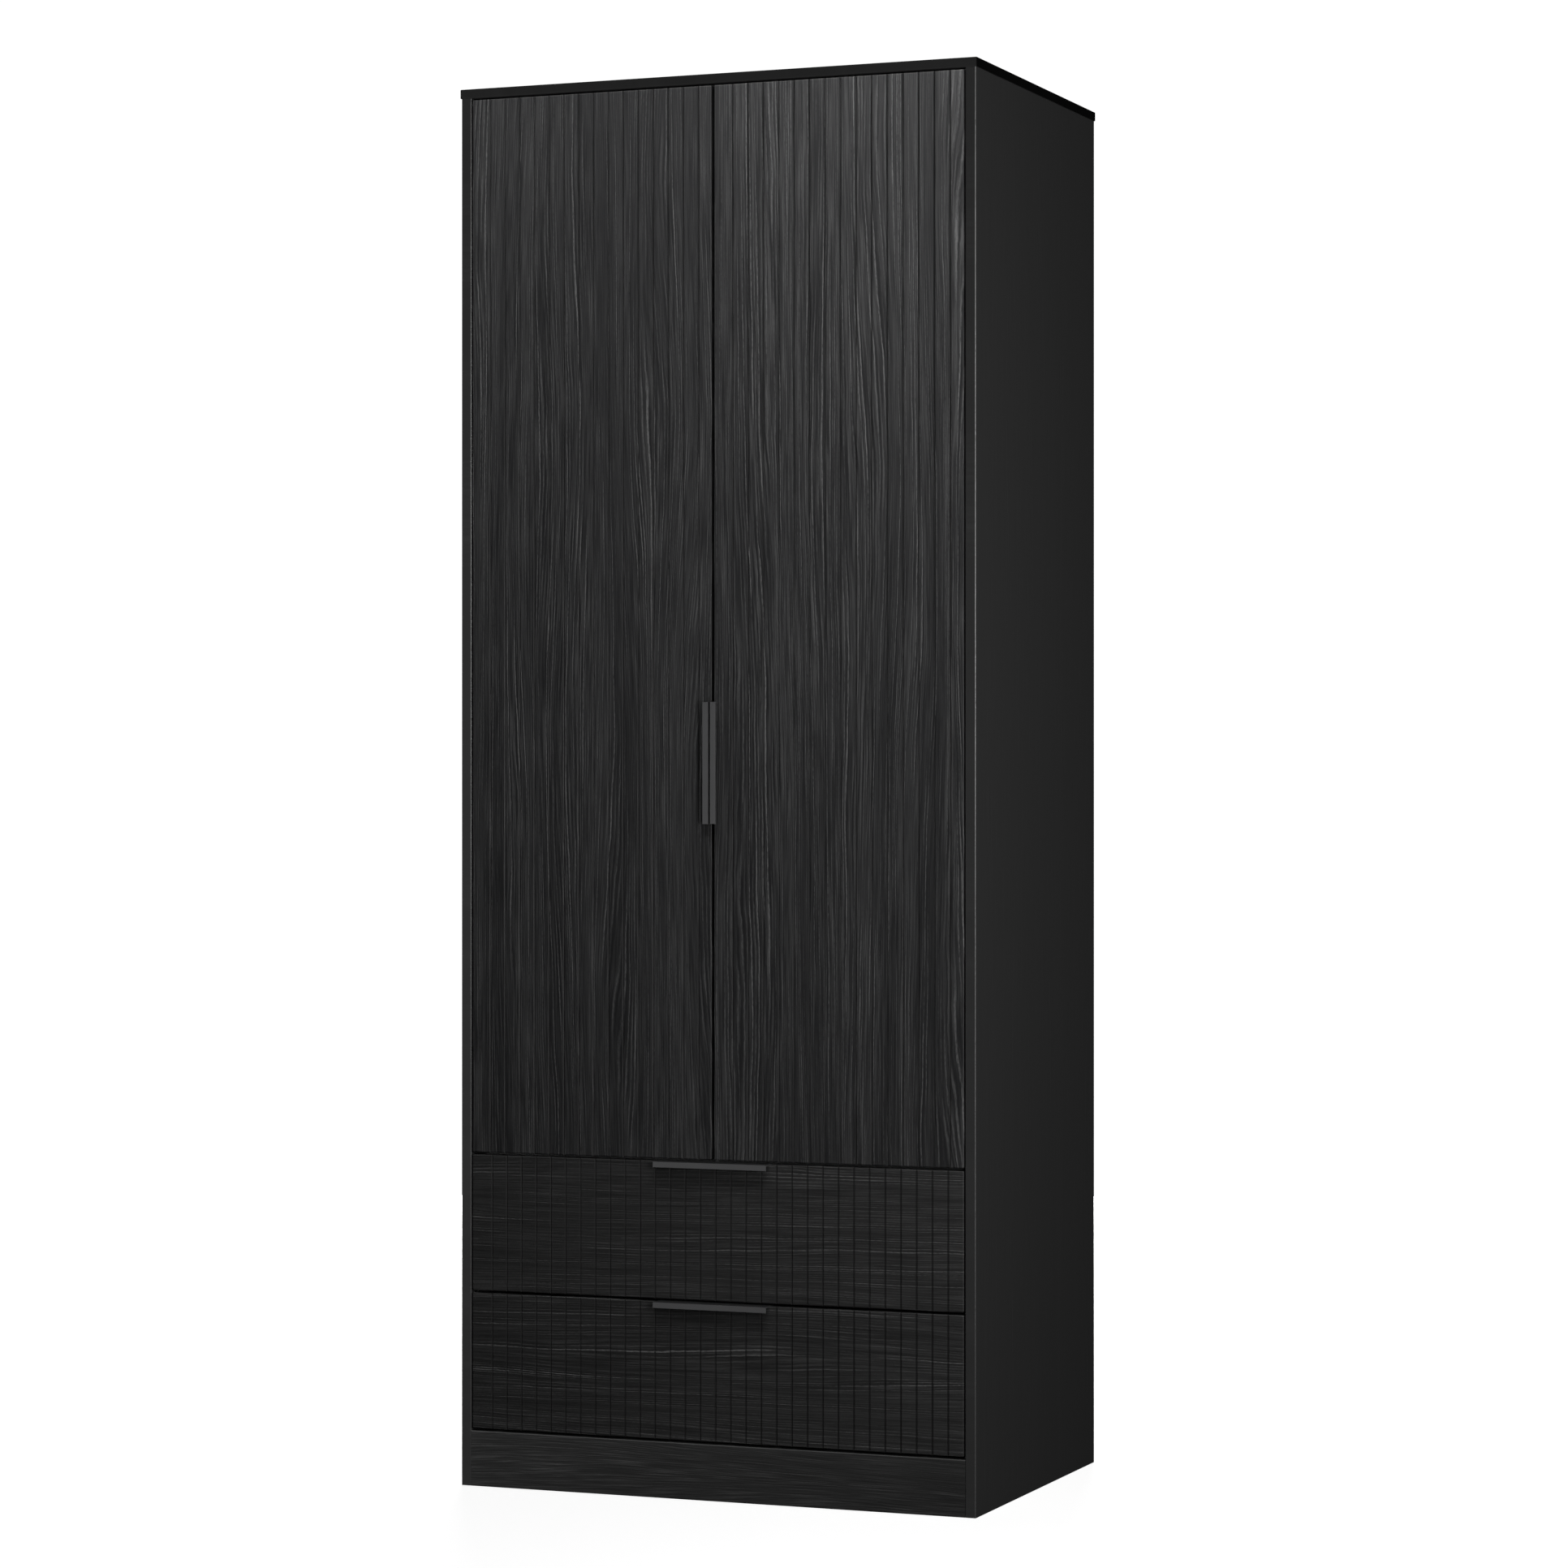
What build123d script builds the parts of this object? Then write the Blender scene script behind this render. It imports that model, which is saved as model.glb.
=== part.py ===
from build123d import *
import os

os.makedirs("parts", exist_ok=True)

# All sizes are in millimetres. X runs across the wardrobe, -Y is the front and Z is up.
# The origin is on the floor, in the middle of the overall width and depth.

# Carcass boards
HEIGHT = 1970
BODY_WIDTH = 767.4
BODY_DEPTH = 527.5
BOARD = 15
TOP_THICK = 13
TOP_SIDE_OVERHANG = 2
TOP_FRONT_OVERHANG = 1
TOP_BACK_OVERHANG = 1.3
PLINTH_HEIGHT = 78
ARRIS = 1.5

# Door and drawer fronts, which are set in between the side panels
FRONT_THICK = 16
FRONT_GAP = 3.5
SIDE_GAP = 1.5
CENTRE_GAP = 3
DOOR_HEIGHT = 1483.5
DRAWER_FRONT_HEIGHT = 191.2
FRONT_CORNER = 2
FRONT_ARRIS = 1.8

# V-flutes cut up the fronts
FLUTE_PITCH = 22.68
FLUTE_WIDTH = 2.6
FLUTE_DEPTH = 1.3
FLUTE_SHIFT = 4.2
DOOR_FLUTES = 15
DRAWER_FLUTES = 31

# Folded edge pulls
HANDLE_LENGTH = 168.6
HANDLE_LIP = 8.2
HANDLE_REACH = 14
HANDLE_SHEET = 1.5
HANDLE_FLANGE = 22
DOOR_HANDLE_HEIGHT = 1018.7

# Inside
BACK_PANEL = 3
BACK_REBATE_DEPTH = 4
BACK_REBATE_WIDTH = 7
SHELF_SETBACK = 2.5
BOTTOM_HEIGHT = 60
DIVIDER_DROP = 9.5
TOP_RAIL_HEIGHT = 70
HAT_SHELF_TOP = 1655
RAIL_HEIGHT = 1585
RAIL_RADIUS = 12.5

# Places worked out from the sizes above
FRONT = HANDLE_REACH - (HANDLE_REACH + BODY_DEPTH + TOP_BACK_OVERHANG) / 2
BACK = FRONT + BODY_DEPTH
OUTER = BODY_WIDTH / 2
INNER = OUTER - BOARD
PANEL_TOP = HEIGHT - TOP_THICK
FRONT_BACK = FRONT + FRONT_THICK
SHELF_FRONT = FRONT_BACK + SHELF_SETBACK
SHELF_BACK = BACK - BACK_REBATE_DEPTH
FRONT_EDGE = INNER - SIDE_GAP
LOWER_DRAWER_BOTTOM = PLINTH_HEIGHT + FRONT_GAP
UPPER_DRAWER_BOTTOM = LOWER_DRAWER_BOTTOM + DRAWER_FRONT_HEIGHT + FRONT_GAP
DOOR_BOTTOM = UPPER_DRAWER_BOTTOM + DRAWER_FRONT_HEIGHT + FRONT_GAP
DOOR_TOP = DOOR_BOTTOM + DOOR_HEIGHT
DIVIDER = (DOOR_BOTTOM - DIVIDER_DROP, DOOR_BOTTOM - DIVIDER_DROP + BOARD)
BOTTOM = (BOTTOM_HEIGHT, BOTTOM_HEIGHT + BOARD)
SIDES = (("left", -1), ("right", 1))
DRAWERS = (("lower", LOWER_DRAWER_BOTTOM), ("upper", UPPER_DRAWER_BOTTOM))
FROM_START = (Align.CENTER, Align.CENTER, Align.MIN)


def board(x, y, z, mode=Mode.ADD):
    """Square-edged block between two X, two Y and two Z values."""
    with Locations(((x[0] + x[1]) / 2, (y[0] + y[1]) / 2, (z[0] + z[1]) / 2)):
        Box(abs(x[1] - x[0]), abs(y[1] - y[0]), abs(z[1] - z[0]), mode=mode)


def rod(start, along, radius, length, mode=Mode.ADD):
    """Round bar, or a bore with Mode.SUBTRACT, from a start point along a direction."""
    with Locations(Plane(start, z_dir=along)):
        Cylinder(radius, length, align=FROM_START, mode=mode)


def save(piece, name):
    """Label a finished piece and write its STEP file."""
    piece.part.label = name
    export_step(piece.part, f"parts/{name}.step")


# ---------------------------------------------------------------- joining hardware
# Each cam lock sits in a bore near the end of a board and draws in a bolt that is
# screwed into the board it meets.
CAM_RADIUS = 7.5
CAM_DEPTH = 12
CAM_INSET = 34
CAM_BOLT_RADIUS = 3
CAM_BOLT_BITE = 11
CAM_SLOT = 1.6
CAM_SLOT_HALF_LENGTH = 5
CAM_SLOT_DEPTH = 2
CAM_EDGE = 70
CAM_YS = (FRONT + CAM_EDGE, BACK - CAM_EDGE)
BOTTOM_CAMS = [(side * (INNER - CAM_INSET), y, BOTTOM[0]) for _, side in SIDES for y in CAM_YS]
DIVIDER_CAMS = [(side * (INNER - CAM_INSET), y, DIVIDER[0]) for _, side in SIDES for y in CAM_YS]
TOP_CAMS = [(side * INNER, y, PANEL_TOP - CAM_INSET) for _, side in SIDES for y in CAM_YS]


def cam_bores(places, along):
    """Round pockets that hold the cam locks of one board."""
    for place in places:
        rod(place, along, CAM_RADIUS, CAM_DEPTH, mode=Mode.SUBTRACT)


with BuildPart() as cam_locks:
    for place in BOTTOM_CAMS + DIVIDER_CAMS:
        rod(place, (0, 0, 1), CAM_RADIUS, CAM_DEPTH)
        board((place[0] - CAM_SLOT_HALF_LENGTH, place[0] + CAM_SLOT_HALF_LENGTH),
              (place[1] - CAM_SLOT / 2, place[1] + CAM_SLOT / 2),
              (place[2], place[2] + CAM_SLOT_DEPTH), mode=Mode.SUBTRACT)
    for place in TOP_CAMS:
        outward = 1 if place[0] > 0 else -1
        rod(place, (outward, 0, 0), CAM_RADIUS, CAM_DEPTH)
        board((place[0], place[0] + outward * CAM_SLOT_DEPTH),
              (place[1] - CAM_SLOT / 2, place[1] + CAM_SLOT / 2),
              (place[2] - CAM_SLOT_HALF_LENGTH, place[2] + CAM_SLOT_HALF_LENGTH), mode=Mode.SUBTRACT)
save(cam_locks, "cam_locks")

BOLT_CLEARANCE = 0.2
BOLT_FREE = CAM_INSET - CAM_RADIUS - BOLT_CLEARANCE
with BuildPart() as cam_bolts:
    for x, y, z in BOTTOM_CAMS + DIVIDER_CAMS:
        inward = -1 if x > 0 else 1
        start = (-inward * (INNER + CAM_BOLT_BITE), y, z + BOARD / 2)
        rod(start, (inward, 0, 0), CAM_BOLT_RADIUS, CAM_BOLT_BITE + BOLT_FREE)
    for x, y, z in TOP_CAMS:
        outward = 1 if x > 0 else -1
        start = (outward * (INNER + BOARD / 2), y, PANEL_TOP - BOLT_FREE)
        rod(start, (0, 0, 1), CAM_BOLT_RADIUS, BOLT_FREE + CAM_BOLT_BITE - 2)
save(cam_bolts, "cam_bolts")


# ---------------------------------------------------------------- carcass boards
SHELF_PIN_RADIUS = 2.5
SHELF_PIN_BITE = 9
SHELF_PIN_YS = (FRONT + 100, BACK - 60)
SHELF_PIN_STEP = 32
HAT_SHELF = (HAT_SHELF_TOP - BOARD, HAT_SHELF_TOP)
SHELF_PIN_LEVELS = [HAT_SHELF[0] - SHELF_PIN_RADIUS + level * SHELF_PIN_STEP for level in range(-2, 3)]

for name, side in SIDES:
    with BuildPart() as side_panel:
        board((side * INNER, side * OUTER), (FRONT, BACK), (0, PANEL_TOP))
        fillet(side_panel.edges().filter_by(Axis.Z).group_by(Axis.Y)[0], ARRIS)
        board((side * (INNER - 1), side * (INNER + BACK_REBATE_WIDTH)), (SHELF_BACK, BACK + 1),
              (BOTTOM[0], PANEL_TOP + 1), mode=Mode.SUBTRACT)
        cam_bores([place for place in TOP_CAMS if place[0] * side > 0], (side, 0, 0))
        for y in SHELF_PIN_YS:
            for z in SHELF_PIN_LEVELS:
                rod((side * INNER, y, z), (side, 0, 0), SHELF_PIN_RADIUS, SHELF_PIN_BITE,
                    mode=Mode.SUBTRACT)
    save(side_panel, f"{name}_side_panel")

with BuildPart() as top_panel:
    board((-OUTER - TOP_SIDE_OVERHANG, OUTER + TOP_SIDE_OVERHANG),
          (FRONT - TOP_FRONT_OVERHANG, BACK + TOP_BACK_OVERHANG), (PANEL_TOP, HEIGHT))
    fillet(top_panel.edges().filter_by(Axis.Z), 2)
    fillet(top_panel.faces().filter_by(Axis.Z).edges(), 1.2)
save(top_panel, "top_panel")

with BuildPart() as bottom_panel:
    board((-INNER, INNER), (FRONT_BACK, SHELF_BACK), BOTTOM)
    cam_bores(BOTTOM_CAMS, (0, 0, 1))
save(bottom_panel, "bottom_panel")

with BuildPart() as divider_shelf:
    board((-INNER, INNER), (SHELF_FRONT, SHELF_BACK), DIVIDER)
    cam_bores(DIVIDER_CAMS, (0, 0, 1))
save(divider_shelf, "divider_shelf")

with BuildPart() as hat_shelf:
    board((-INNER + 0.6, INNER - 0.6), (FRONT + 60, SHELF_BACK - 1), HAT_SHELF)
    fillet(hat_shelf.edges().filter_by(Axis.X).group_by(Axis.Y)[0], 1)
save(hat_shelf, "hat_shelf")

with BuildPart() as shelf_pins:
    for _, side in SIDES:
        for y in SHELF_PIN_YS:
            z = HAT_SHELF[0] - SHELF_PIN_RADIUS
            rod((side * (INNER + SHELF_PIN_BITE - 0.5), y, z), (-side, 0, 0),
                SHELF_PIN_RADIUS - 0.05, SHELF_PIN_BITE + 7)
            board((side * (INNER - 9), side * INNER), (y - 4, y + 4), (z - 3.5, HAT_SHELF[0]))
save(shelf_pins, "shelf_pins")

with BuildPart() as plinth:
    board((-INNER, INNER), (FRONT, FRONT_BACK), (0, PLINTH_HEIGHT))
    fillet(plinth.edges().filter_by(Axis.X).group_by(Axis.Y)[0].sort_by(Axis.Z)[-1], ARRIS)
save(plinth, "plinth")

REAR_PLINTH = (BACK - 60, BACK - 45)
with BuildPart() as rear_plinth:
    board((-INNER, INNER), REAR_PLINTH, (0, BOTTOM[0]))
save(rear_plinth, "rear_plinth")

TOP_RAIL = (PANEL_TOP - TOP_RAIL_HEIGHT, PANEL_TOP)
with BuildPart() as top_rail:
    board((-INNER, INNER), (SHELF_FRONT, SHELF_FRONT + BOARD), TOP_RAIL)
save(top_rail, "top_rail")

DOWEL_RADIUS = 4
DOWEL_BITE = 10
DOWEL_REACH = 20
with BuildPart() as dowels:
    for _, side in SIDES:
        start_x = side * (INNER + DOWEL_BITE)
        for y, levels in (
            ((FRONT + FRONT_BACK) / 2, (20, PLINTH_HEIGHT - 20)),
            (sum(REAR_PLINTH) / 2, (15, BOTTOM[0] - 15)),
            (SHELF_FRONT + BOARD / 2, (TOP_RAIL[0] + 18, TOP_RAIL[1] - 18)),
        ):
            for z in levels:
                rod((start_x, y, z), (-side, 0, 0), DOWEL_RADIUS, DOWEL_BITE + DOWEL_REACH)
save(dowels, "dowels")

# The back is two thin panels in the rebate, with a joining strip between them.
BACK_JOINT = 1016
BACK_FACE = (SHELF_BACK, SHELF_BACK + BACK_PANEL)
STRIP_WEB = 1.6
STRIP_FLANGE = 0.9
BACK_HALF = INNER + BACK_REBATE_WIDTH - 0.5
for name, z in (("lower", (BOTTOM[0], BACK_JOINT - STRIP_WEB / 2)),
                ("upper", (BACK_JOINT + STRIP_WEB / 2, PANEL_TOP))):
    with BuildPart() as back_panel:
        board((-BACK_HALF, BACK_HALF), BACK_FACE, z)
    save(back_panel, f"{name}_back_panel")

with BuildPart() as back_joint_strip:
    board((-INNER + 0.5, INNER - 0.5), BACK_FACE, (BACK_JOINT - STRIP_WEB / 2, BACK_JOINT + STRIP_WEB / 2))
    for y in (BACK_FACE[0] - STRIP_FLANGE, BACK_FACE[1]):
        board((-INNER + 0.5, INNER - 0.5), (y, y + STRIP_FLANGE), (BACK_JOINT - 8, BACK_JOINT + 8))
save(back_joint_strip, "back_joint_strip")

NAIL_LEVELS = 11
NAIL_COLUMNS = 5
NAIL_HEAD = 0.8
NAIL_HEAD_RADIUS = 2.2
NAIL_RADIUS = 0.8
NAIL_LENGTH = 20
NAIL_INSET = 3.5
NAIL_END = 45
with BuildPart() as back_nails:
    nail_step = (PANEL_TOP - 2 * NAIL_END - BOTTOM[1]) / (NAIL_LEVELS - 1)
    nail_points = [(side * (INNER + NAIL_INSET), BOTTOM[1] + NAIL_END + level * nail_step)
                   for _, side in SIDES for level in range(NAIL_LEVELS)]
    nail_points += [(INNER * (2 * (column + 0.5) / NAIL_COLUMNS - 1), z)
                    for z in (sum(BOTTOM) / 2, sum(DIVIDER) / 2) for column in range(NAIL_COLUMNS)]
    for x, z in nail_points:
        rod((x, BACK_FACE[1] + NAIL_HEAD, z), (0, -1, 0), NAIL_HEAD_RADIUS, NAIL_HEAD)
        rod((x, BACK_FACE[1], z), (0, -1, 0), NAIL_RADIUS, NAIL_LENGTH)
save(back_nails, "back_nails")


# ---------------------------------------------------------------- screws
SCREW_HEAD_RADIUS = 3.4
SCREW_HEAD = 1.6
SCREW_SHANK_RADIUS = 1.7
SCREW_RECESS_RADIUS = 1.3
SCREW_RECESS = 0.8
SCREW_BITE = 11


def screw(head_base, inward, bite=SCREW_BITE):
    """Pan-head wood screw: the head stands on head_base and the shank runs inward."""
    outward = tuple(-step for step in inward)
    rod(head_base, outward, SCREW_HEAD_RADIUS, SCREW_HEAD)
    rod(head_base, inward, SCREW_SHANK_RADIUS, bite)
    tip = tuple(base + step * SCREW_HEAD for base, step in zip(head_base, outward))
    rod(tip, inward, SCREW_RECESS_RADIUS, SCREW_RECESS, mode=Mode.SUBTRACT)


# ---------------------------------------------------------------- hanging rail
RAIL_Y = (SHELF_FRONT + SHELF_BACK) / 2
RAIL_WALL = 1
RAIL_END_PLAY = 0.2
SOCKET_FLANGE = 3
SOCKET_REACH = 14
SOCKET_RADIUS = 16
SOCKET_CLEARANCE = 0.1
with BuildPart() as hanging_rail:
    rail_half = INNER - SOCKET_FLANGE - RAIL_END_PLAY
    rail_end = (-rail_half, RAIL_Y, RAIL_HEIGHT)
    rod(rail_end, (1, 0, 0), RAIL_RADIUS, 2 * rail_half)
    rod(rail_end, (1, 0, 0), RAIL_RADIUS - RAIL_WALL, 2 * rail_half, mode=Mode.SUBTRACT)
save(hanging_rail, "hanging_rail")

SOCKET_SCREWS = 21
with BuildPart() as rail_sockets:
    for _, side in SIDES:
        with BuildSketch(Plane((side * INNER, RAIL_Y, RAIL_HEIGHT), z_dir=(-side, 0, 0))) as flange:
            SlotOverall(2 * SOCKET_SCREWS + 16, 2 * SOCKET_RADIUS, rotation=90)
        extrude(amount=SOCKET_FLANGE)
        rod((side * INNER, RAIL_Y, RAIL_HEIGHT), (-side, 0, 0), SOCKET_RADIUS, SOCKET_REACH)
        rod((side * (INNER - SOCKET_FLANGE), RAIL_Y, RAIL_HEIGHT), (-side, 0, 0),
            RAIL_RADIUS + SOCKET_CLEARANCE, SOCKET_REACH, mode=Mode.SUBTRACT)
        for step in (-SOCKET_SCREWS, SOCKET_SCREWS):
            rod((side * INNER, RAIL_Y, RAIL_HEIGHT + step), (-side, 0, 0), SCREW_SHANK_RADIUS,
                SOCKET_FLANGE, mode=Mode.SUBTRACT)
save(rail_sockets, "rail_sockets")


# ---------------------------------------------------------------- hinges
# Concealed cup hinges: the cup is let into the back of the door, and the arm clips to a
# plate on the side panel. The arm stays behind the closed door.
HINGE_INSET = 100
HINGE_HEIGHTS = (DOOR_BOTTOM + HINGE_INSET, (DOOR_BOTTOM + DOOR_TOP) / 2, DOOR_TOP - HINGE_INSET)
CUP_RADIUS = 17.5
CUP_DEPTH = 12
CUP_WALL = 1
CUP_EDGE = 5
CUP_X = FRONT_EDGE - CUP_EDGE - CUP_RADIUS
CUP_FLANGE = 1.2
CUP_WING = 30
CUP_WING_HALF_WIDTH = 9
CUP_PIN_RADIUS = 1.5
CUP_PIN_OFFSET = 4
CUP_SCREW_STEP = 24
CUP_SCREW_HOLE = 2
PLATE_START = SHELF_FRONT + 28
PLATE_LENGTH = 42
PLATE_HEIGHT = 50
ARM_WIDTH = 13
ARM_SHEET = 1.5
PLATE_SCREW_STEP = 16

for name, side in SIDES:
    with BuildPart() as hinge_cups:
        for z in HINGE_HEIGHTS:
            rod((side * CUP_X, FRONT_BACK, z), (0, -1, 0), CUP_RADIUS, CUP_DEPTH)
            board((side * (CUP_X - CUP_WING_HALF_WIDTH), side * (CUP_X + CUP_WING_HALF_WIDTH)),
                  (FRONT_BACK, FRONT_BACK + CUP_FLANGE), (z - CUP_WING, z + CUP_WING))
            rod((side * CUP_X, FRONT_BACK + CUP_FLANGE, z), (0, -1, 0), CUP_RADIUS + 1.5, CUP_FLANGE)
            rod((side * CUP_X, FRONT_BACK + CUP_FLANGE, z), (0, -1, 0), CUP_RADIUS - CUP_WALL,
                CUP_DEPTH + CUP_FLANGE - CUP_WALL, mode=Mode.SUBTRACT)
            for step in (-CUP_SCREW_STEP, CUP_SCREW_STEP):
                rod((side * CUP_X, FRONT_BACK + CUP_FLANGE, z + step), (0, -1, 0), CUP_SCREW_HOLE,
                    CUP_FLANGE, mode=Mode.SUBTRACT)
            pin_x = side * (CUP_X - CUP_PIN_OFFSET)
            rod((pin_x, FRONT_BACK - CUP_PIN_OFFSET, z - CUP_RADIUS + CUP_WALL), (0, 0, 1),
                CUP_PIN_RADIUS, 2 * (CUP_RADIUS - CUP_WALL))
    save(hinge_cups, f"{name}_hinge_cups")

    with BuildPart() as hinge_plates:
        for z in HINGE_HEIGHTS:
            board((side * (INNER - 2), side * INNER), (PLATE_START, PLATE_START + PLATE_LENGTH - 20),
                  (z - PLATE_HEIGHT / 2, z + PLATE_HEIGHT / 2))
            board((side * (INNER - 7), side * INNER), (PLATE_START - 8, PLATE_START + PLATE_LENGTH),
                  (z - 5, z + 5))
            for step in (-PLATE_SCREW_STEP, PLATE_SCREW_STEP):
                rod((side * (INNER - 2), PLATE_START + 11, z + step), (side, 0, 0), 2, 2,
                    mode=Mode.SUBTRACT)
    save(hinge_plates, f"{name}_hinge_plates")

    with BuildPart() as hinge_arms:
        for z in HINGE_HEIGHTS:
            with BuildSketch(Plane.XY.offset(z - ARM_WIDTH / 2)):
                Polygon(
                    (side * (INNER - 3), PLATE_START + PLATE_LENGTH - 2),
                    (side * (INNER - 11), PLATE_START + PLATE_LENGTH - 2),
                    (side * (INNER - 13), PLATE_START + 8),
                    (side * (INNER - 30), SHELF_FRONT + 16),
                    (side * (INNER - 30), SHELF_FRONT + 1),
                    (side * (INNER - 20), SHELF_FRONT + 1),
                    (side * (INNER - 11), PLATE_START - 10),
                    (side * (INNER - 3), PLATE_START - 2),
                )
            extrude(amount=ARM_WIDTH)
            board((side * (INNER + 1), side * (INNER - 7)), (PLATE_START - 12, PLATE_START + PLATE_LENGTH),
                  (z - ARM_WIDTH / 2 + ARM_SHEET, z + ARM_WIDTH / 2 - ARM_SHEET), mode=Mode.SUBTRACT)
    save(hinge_arms, f"{name}_hinge_arms")


# ---------------------------------------------------------------- edge pulls
# A strip of sheet wraps the edge of each front: a flange behind it, a web let into the edge
# and a lip that turns back in front of it. Each pair is the depth from the edge, then Y.
LIP_FRONT = FRONT - HANDLE_REACH
FLANGE_BACK = FRONT_BACK + HANDLE_SHEET
PULL_SECTION = (
    (0, LIP_FRONT),
    (HANDLE_LIP, LIP_FRONT),
    (HANDLE_LIP, LIP_FRONT + HANDLE_SHEET),
    (HANDLE_SHEET, LIP_FRONT + HANDLE_SHEET),
    (HANDLE_SHEET, FRONT_BACK),
    (HANDLE_FLANGE, FRONT_BACK),
    (HANDLE_FLANGE, FLANGE_BACK),
    (0, FLANGE_BACK),
)
PULL_SCREW_STEP = 65
PULL_SCREW_INSET = 13
PULL_SCREW_STEPS = (-PULL_SCREW_STEP, 0, PULL_SCREW_STEP)
PULL_SCREW_BITE = 13
LIP_ARRIS = 0.6


# ---------------------------------------------------------------- fronts
def flutes_up(centre_x, z, count):
    """Cut the V-flutes of one front board, from below its bottom to above its top."""
    with BuildSketch(Plane.XY.offset(z[0] - 1)) as grooves:
        with Locations((centre_x + FLUTE_SHIFT, FRONT)):
            with GridLocations(FLUTE_PITCH, 1, count, 1):
                Polygon((-FLUTE_WIDTH, -FLUTE_DEPTH), (FLUTE_WIDTH, -FLUTE_DEPTH), (0, FLUTE_DEPTH))
    extrude(grooves.sketch, amount=z[1] - z[0] + 2, mode=Mode.SUBTRACT)


for name, side in SIDES:
    edge = CENTRE_GAP / 2
    width = FRONT_EDGE - edge
    centre_x = side * (edge + width / 2)
    pull_z = (DOOR_HANDLE_HEIGHT - HANDLE_LENGTH / 2, DOOR_HANDLE_HEIGHT + HANDLE_LENGTH / 2)
    screw_points = [(side * (edge + PULL_SCREW_INSET), FLANGE_BACK, DOOR_HANDLE_HEIGHT + step)
                    for step in PULL_SCREW_STEPS]

    with BuildPart() as door:
        with BuildSketch(Plane.XZ.offset(-FRONT_BACK)):
            with Locations((centre_x, (DOOR_BOTTOM + DOOR_TOP) / 2)):
                RectangleRounded(width, DOOR_HEIGHT, FRONT_CORNER)
        extrude(amount=FRONT_THICK)
        fillet(door.faces().sort_by(Axis.Y)[0].edges(), FRONT_ARRIS)
        flutes_up(centre_x, (DOOR_BOTTOM, DOOR_TOP), DOOR_FLUTES)
        board((side * (edge - 1), side * (edge + HANDLE_SHEET)), (FRONT - 1, FRONT_BACK + 1), pull_z,
              mode=Mode.SUBTRACT)
        for z in HINGE_HEIGHTS:
            rod((side * CUP_X, FRONT_BACK, z), (0, -1, 0), CUP_RADIUS, CUP_DEPTH, mode=Mode.SUBTRACT)
    save(door, f"{name}_door")

    with BuildPart() as door_pull:
        with BuildSketch(Plane.XY.offset(pull_z[0])):
            Polygon(*[(side * (edge + depth), y) for depth, y in PULL_SECTION])
        extrude(amount=HANDLE_LENGTH)
        fillet(door_pull.faces().sort_by(Axis.Y)[0].edges(), LIP_ARRIS)
        for point in screw_points:
            rod(point, (0, -1, 0), SCREW_SHANK_RADIUS, HANDLE_SHEET, mode=Mode.SUBTRACT)
    save(door_pull, f"{name}_door_pull")

    with BuildPart() as door_screws:
        for point in screw_points:
            screw(point, (0, -1, 0), PULL_SCREW_BITE)
        for z in HINGE_HEIGHTS:
            for step in (-CUP_SCREW_STEP, CUP_SCREW_STEP):
                screw((side * CUP_X, FRONT_BACK + CUP_FLANGE, z + step), (0, -1, 0))
    save(door_screws, f"{name}_door_screws")

BUMPER_RADIUS = 2.5
BUMPER_GAP = 0.1
DRAWER_TOP = DOOR_BOTTOM - FRONT_GAP
BUMPER_ROWS = (
    (30, DOOR_TOP - 20),
    (30, (DOOR_BOTTOM + DIVIDER[1]) / 2),
    (200, (DIVIDER[0] + DRAWER_TOP) / 2),
)
with BuildPart() as bumpers:
    for x, z in BUMPER_ROWS:
        for _, side in SIDES:
            rod((side * x, SHELF_FRONT, z), (0, -1, 0), BUMPER_RADIUS, SHELF_SETBACK - BUMPER_GAP)
save(bumpers, "bumpers")


# ---------------------------------------------------------------- drawers and runners
# Roller runners: a channel on the side panel carries a wheel at its front end, and a rail
# under the drawer side carries a wheel at its back end, which rolls inside the channel.
DRAWER_CLEARANCE = 13
DRAWER_SIDE = 12
DRAWER_DEPTH = 455
DRAWER_BOX_HEIGHT = 140
DRAWER_LIFT = 24
BASE_THICK = 3
BASE_LIFT = 10
BASE_GROOVE = 5
DRAWER_HALF = INNER - DRAWER_CLEARANCE
DRAWER_BACK_END = FRONT_BACK + DRAWER_DEPTH

SHEET = 1.2
WHEEL_RADIUS = 11
WHEEL_WIDTH = 7
WHEEL_GAP = 0.15
WHEEL_PIN_RADIUS = 2.5
WHEEL_BORE_CLEARANCE = 0.06
WHEEL_INSET = 14
WHEEL_IN = DRAWER_HALF + 3.8
WHEEL_OUT = WHEEL_IN + WHEEL_WIDTH
CHANNEL_START = FRONT_BACK + 6
CHANNEL_END = CHANNEL_START + 450
CHANNEL_DROP = 1.5
CHANNEL_HEIGHT = 26
CHANNEL_IN = DRAWER_HALF + 2.8
CHANNEL_MOUTH = 32
FRONT_WHEEL_Y = CHANNEL_START + WHEEL_INSET
REAR_WHEEL_Y = CHANNEL_END - WHEEL_INSET
RUNNER_SCREW_YS = (CHANNEL_START + 60, CHANNEL_START + 220, CHANNEL_END - 70)

RAIL_UNDERSIDES = {name: bottom + DRAWER_LIFT - SHEET for name, bottom in DRAWERS}
FRONT_WHEEL_DROP = WHEEL_GAP + WHEEL_RADIUS
REAR_WHEEL_DROP = CHANNEL_DROP + CHANNEL_HEIGHT - SHEET - WHEEL_GAP - WHEEL_RADIUS

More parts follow.
